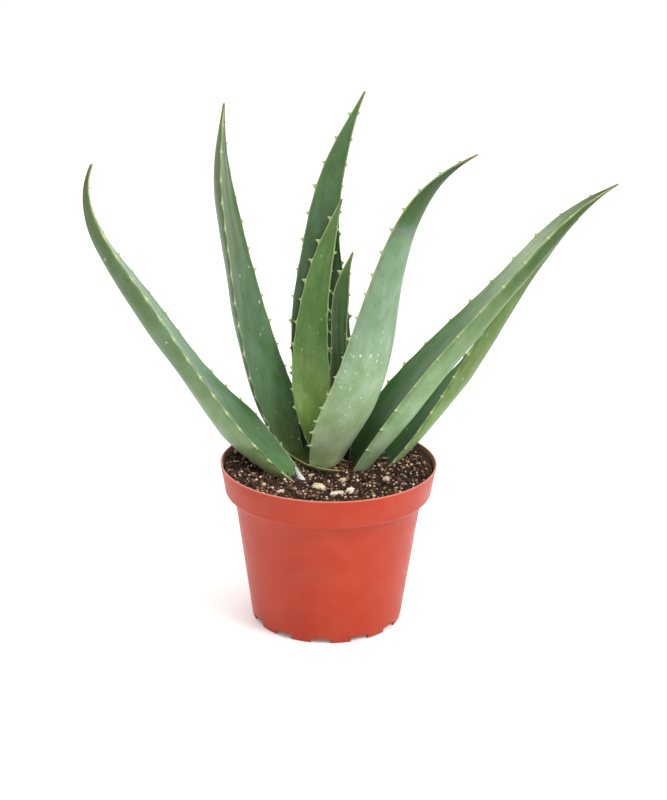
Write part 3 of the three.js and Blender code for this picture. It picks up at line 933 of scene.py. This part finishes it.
def build_leaf(name, leaf, seed, material):
    points, x, margin = leaf_surface(leaf, seed)
    bm = bmesh.new()
    uv, margins, uppers, reaches = leaf_layers(bm)
    bmesh.ops.create_grid(bm, x_segments=LEAF_COLUMNS, y_segments=LEAF_STATIONS, size=0.5)
    for face in bm.faces:
        upper = face.calc_center_median().x < 0  # the first half of the columns is the top
        for loop in face.loops:
            column = round((loop.vert.co.x + 0.5) * LEAF_COLUMNS) % LEAF_COLUMNS
            station = round((loop.vert.co.y + 0.5) * LEAF_STATIONS)
            reach = station / LEAF_STATIONS * leaf["length"]
            place = x[station, column]
            loop[uv].uv = ((place if upper else 100 - place) / 100, reach / 100)
    for vert in bm.verts:
        column = round((vert.co.x + 0.5) * LEAF_COLUMNS) % LEAF_COLUMNS
        station = round((vert.co.y + 0.5) * LEAF_STATIONS)
        vert[margins] = margin[station, column]
        vert[reaches] = station / LEAF_STATIONS
        turn_share = math.sin(2 * math.pi * column / LEAF_COLUMNS)
        vert[uppers] = 0.5 + 0.5 * max(-1.0, min(1.0, 4 * turn_share))
        vert.co = Vector(points[station, column]) * MM
    bmesh.ops.remove_doubles(bm, verts=bm.verts, dist=0.001 * MM)
    bmesh.ops.contextual_create(bm, geom=[edge for edge in bm.edges if edge.is_boundary])
    bmesh.ops.recalc_face_normals(bm, faces=bm.faces)
    return finish_piece("aloe_" + name, bm, material, ["leaf_" + name])


# %% [markdown]
# ### Skin of a leaf
#
# The skin is green under a bluish wax. The wax lies in soft patches, the fibres under it run along
# the leaf, and so do pale flecks. The margin is a hard, pale line, the tip is dry and brown, and the
# root is dusty with peat. The pattern follows the leaf's own map, so that it bends with the leaf.

# %% Finish of a leaf
LEAF_LIGHT = 0.74  # the skin's colours are a little darker than they look under the lamps


def leaf_ramp(tree, reach, leaf, side):
    places = leaf.get("places", (0.08, 0.24, 0.48, 0.74, 0.95))
    return ramp(tree, reach, list(zip(places, leaf.get(side, leaf["upper"]))), LEAF_LIGHT)


def add_scar(tree, base, reach, chart, place):
    """A healed crease across the leaf: two grey lines that wander and meet."""
    for drift_scale, offset in ((9.0, -0.004), (13.0, 0.006)):
        sockets = {"Vector": chart, "Scale": drift_scale}
        wander = add_node(tree, "ShaderNodeTexNoise", sockets).outputs[0]
        line = total(tree, reach, product(tree, wander, 0.03))
        gap = sum_of(tree, "ABSOLUTE", sum_of(tree, "SUBTRACT", line, place + 0.015 + offset))
        crease = soft_mask(tree, gap, 0.0034, 0.0006)
        base = tint(tree, base, crease, 0.8, "#6f7b76", 0.8)
    return base


def white_flecks(tree, chart, reach, leaf):
    """Pale flecks drawn out along the leaf, in crowds, between two shares of its length."""
    first, last = leaf.get("zone", (0.1, 0.8))
    zone = product(tree, soft_mask(tree, reach, first - 0.04, first + 0.02),
                   soft_mask(tree, reach, last + 0.04, last - 0.06))
    crowd = mottle(tree, stretched(tree, chart, (4, 4, 1)), 1.3)
    spots = flecks(tree, stretched(tree, chart, (52, 26, 1)), 1.0, 0.26, 0.55 * leaf["spots"])
    return product(tree, spots, product(tree, crowd, zone))


def leaf_skin(name, leaf):
    material, tree, surface, place = start_material("skin_" + name)
    reach, margin, upper = (
        add_node(tree, "ShaderNodeAttribute", {}, attribute_name=label).outputs["Fac"]
        for label in ("reach", "margin", "upper")
    )
    chart = add_node(tree, "ShaderNodeUVMap", {}, uv_map="leaf").outputs[0]
    bloom, gloss = leaf["bloom"], leaf.get("gloss", 0.4)

    # the green, with fibres, wax, blots, pores and flecks over it; the colours along some leaves also
    # hold painted shade, painted light and a painted highlight, noted where the leaves are listed
    base = blend(tree, upper, leaf_ramp(tree, reach, leaf, "under"),
                 leaf_ramp(tree, reach, leaf, "upper"))
    streak = mottle(tree, stretched(tree, chart, (42, 1.6, 1)), 1.6)
    darker = blend(tree, 1.0, base, colour("#a9bb86"), "MULTIPLY")
    base = blend(tree, product(tree, streak, 0.2), base, darker)
    patches = mottle(tree, stretched(tree, chart, (6, 2.2, 1)), 1.0)
    wax = product(tree, patches, soft_mask(tree, reach, 0.68, 0.8, 0.35 * bloom, 0.06 * bloom))
    base = blend(tree, wax, base, colour("#a9c2b4", LEAF_LIGHT))
    blots = mottle(tree, stretched(tree, chart, (9, 5, 1)), 1.3)
    greener = blend(tree, 1.0, base, colour("#b0c884"), "MULTIPLY")
    base = blend(tree, product(tree, blots, 0.5), base, greener)
    pores = flecks(tree, stretched(tree, chart, (70, 38, 1)), 1.0, 0.3, 0.16)
    base = tint(tree, base, pores, 0.3, "#41542c")
    base = tint(tree, base, white_flecks(tree, chart, reach, leaf), 0.85, "#d6e2c8")
    if "scar" in leaf:
        base = add_scar(tree, base, reach, chart, leaf["scar"])

    # the pale margin, the horny teeth and the dry tip
    edge = soft_mask(tree, margin, 1.15, 0.2)
    base = tint(tree, base, edge, leaf.get("line", 0.6), "#bfc78a", 0.85)
    base = tint(tree, base, soft_mask(tree, margin, -0.5, -1.6), 0.85, "#d3dab2", 0.9)
    base = tint(tree, base, soft_mask(tree, margin, -1.9, -2.5), 0.6, "#b39a6a")
    uneven = total(tree, reach, product(tree, patches, 0.01))
    base = tint(tree, base, soft_mask(tree, uneven, 0.955, 1.0), 0.75, "#6a5a3a")

    # peat dust near the soil
    low = soft_mask(tree, height_of(tree, place), 0.0975, 0.092)
    grime = product(tree, mottle(tree, place, 420.0), 0.6)
    base = tint(tree, base, low, grime, "#5b4533")

    shine = soft_mask(tree, total(tree, patches, wax), 0.0, 1.4, 0.34, 0.52)
    fine = product(tree, fine_tooth(tree, place, 1300.0), 0.35)
    relief = total(tree, product(tree, streak, 0.25), fine)
    relief = total(tree, relief, product(tree, blots, 0.8))
    wire_surface(tree, surface, base, shine, relief, 0.14, specular=gloss)
    feed(tree, surface, {"Sheen Weight": 0.4 * gloss, "Sheen Roughness": 0.35,
                         "Sheen Tint": (0.75, 0.9, 0.8, 1), "Subsurface Weight": 0.12,
                         "Subsurface Radius": (0.0022, 0.0035, 0.0009), "Subsurface Scale": 1.0})
    return material


# %% Build the eight leaves
FIRST_SEED = 20
for i, (name, leaf) in enumerate(LEAVES.items()):
    build_leaf(name, leaf, FIRST_SEED + i, leaf_skin(name, leaf))
print("leaves built:", len(LEAVES))

# %% [markdown]
# ### Where the leaves clasp
#
# An aloe leaf has no stalk: its base widens into a cupped sheath that wraps round the younger leaves.
# The foot of the high left leaf shows in front of the crown as a low lip. We lay a grid between two
# lines, the edge of the lip and the bottom of the cup behind it. Its first rows turn down from the
# edge into the soil, so that the lip has a front, and Solidify gives it the thickness of the real
# sheath. A dead scale, thin and white as paper, is left beside it.

# %% Clasping base and a dry scale
LIP = [(-31, 28, 99.5), (-24.5, 16.5, 96.8), (-15.5, 5.6, 95.6), (-9, 0.4, 95.2), (-3, -2.8, 94.9),
       (4.5, -3.2, 94.3), (9, 2.0, 92.4)]
HOLLOW = [(-17, 33, 104), (-12, 26, 96), (-8, 20, 93), (-5, 16, 93), (-1, 13, 94), (3, 12, 95),
          (8, 11, 94)]
BELLY_SHARE = 0.3  # share of the rows that run down from the lip into the soil
BELLY_DEPTH, BELLY_TUCK = 5.5, 3.5  # how far they go down and back
# the sheath's one dark green is the leaf's own green darkened as painted shade, since the cup lies in
# shade below the leaves
SHEATH = dict(
    LEAVES["left_high"], upper=("#4d6a33",) * 5, under=("#4d6a33",) * 5, bloom=0.03, line=1.0,
    gloss=0.12,
)
LIP_COLUMNS, LIP_ROWS = 80, 30
LIP_SAG = 2.4


def build_clasping_base(material):
    bm = bmesh.new()
    uv, margins, uppers, reaches = leaf_layers(bm)
    bmesh.ops.create_grid(bm, x_segments=LIP_COLUMNS, y_segments=LIP_ROWS, size=0.5)
    for vert in bm.verts:
        u, v = vert.co.x + 0.5, vert.co.y + 0.5
        for loop in vert.link_loops:
            loop[uv].uv = (v * 0.15, u * 0.4)
        lip, hollow = (Vector([along([p[k] for p in line], np.array([u]))[0] for k in range(3)])
                       for line in (LIP, HOLLOW))
        down = max(0.0, 1 - v / BELLY_SHARE)
        inside = max(0.0, (v - BELLY_SHARE) / (1 - BELLY_SHARE))
        sheet = lip.lerp(hollow, inside)
        sheet += (hollow - lip).normalized() * BELLY_TUCK * down**2
        sheet.z -= BELLY_DEPTH * down
        waver = 0.35 * noise.noise(Vector((u * 7, v * 2, 1)))
        sheet.z += waver - LIP_SAG * math.sin(math.pi * inside**0.8)
        vert.co = sheet * MM
        vert[margins] = 15 * inside + BELLY_DEPTH * down
        vert[uppers] = 1.0
        vert[reaches] = 0.22 - 0.08 * u
    bmesh.ops.recalc_face_normals(bm, faces=bm.faces)
    if sum(face.normal.z for face in bm.faces) < 0:
        bmesh.ops.reverse_faces(bm, faces=bm.faces)
    piece = finish_piece("clasping_base", bm, material)
    shell = piece.modifiers.new("thickness", "SOLIDIFY")
    shell.thickness, shell.offset = 1.0 * MM, -1


build_clasping_base(leaf_skin("sheath", SHEATH))
SCALE_FOOT, SCALE_TOP = Vector((-15.6, -15.2, 92.0)), Vector((-19.6, -14.2, 100.0))
SCALE_HALF, SCALE_TIP = 2.1, 0.12  # half its width at the foot, and what is left of it at the tip


def papery_finish():
    """A dead scale: chalk white, with fine ribs."""
    material, tree, surface, place = start_material("dry_scale")
    base = blend(tree, mottle(tree, place, 260.0), colour("#c9d0c4"), colour("#eef1ea"))
    ribs = mottle(tree, stretched(tree, place, (9, 2, 1)), 160.0)
    wire_surface(tree, surface, base, 0.55, ribs, 0.12)
    return material


def build_dry_scale():
    bm = bmesh.new()
    bmesh.ops.create_grid(bm, x_segments=10, y_segments=24, size=0.5)
    for vert in bm.verts:
        u, v = vert.co.x * 2, vert.co.y + 0.5
        middle = SCALE_FOOT.lerp(SCALE_TOP, v)
        half_width = SCALE_HALF * (1 - v) ** 0.75 + SCALE_TIP
        curl = -0.9 * (1 - u * u) * (1 - v) + 0.25 * noise.noise(Vector((u * 2, v * 5, 4)))
        vert.co = (middle + Vector((u * half_width, curl, 0.3 * u * (1 - v)))) * MM
    piece = finish_piece("dry_scale", bm, papery_finish())
    shell = piece.modifiers.new("thickness", "SOLIDIFY")
    shell.thickness = 0.25 * MM


build_dry_scale()

# %% [markdown]
# ## Stem and roots
#
# The stem hides in the soil, so its CAD shape is kept as it is. It still gets a bark-like finish of
# its own, because someone may lift the plant out of its pot one day.

# %% Finish of the stem and roots
def root_bark():
    material, tree, surface, place = start_material("root_bark")
    rings = mottle(tree, stretched(tree, place, (1, 1, 6)), 130.0)
    base = blend(tree, rings, colour("#6f5636"), colour("#b39a6a"))
    base = tint(tree, base, mottle(tree, place, 420.0), 0.45, "#3c2a20")
    relief = total(tree, rings, fine_tooth(tree, place, 1100.0))
    wire_surface(tree, surface, base, 0.85, relief, 0.3)
    return material


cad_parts["stem_and_roots"].material_slots[0].material = root_bark()
print("stem and roots keep their CAD shape")
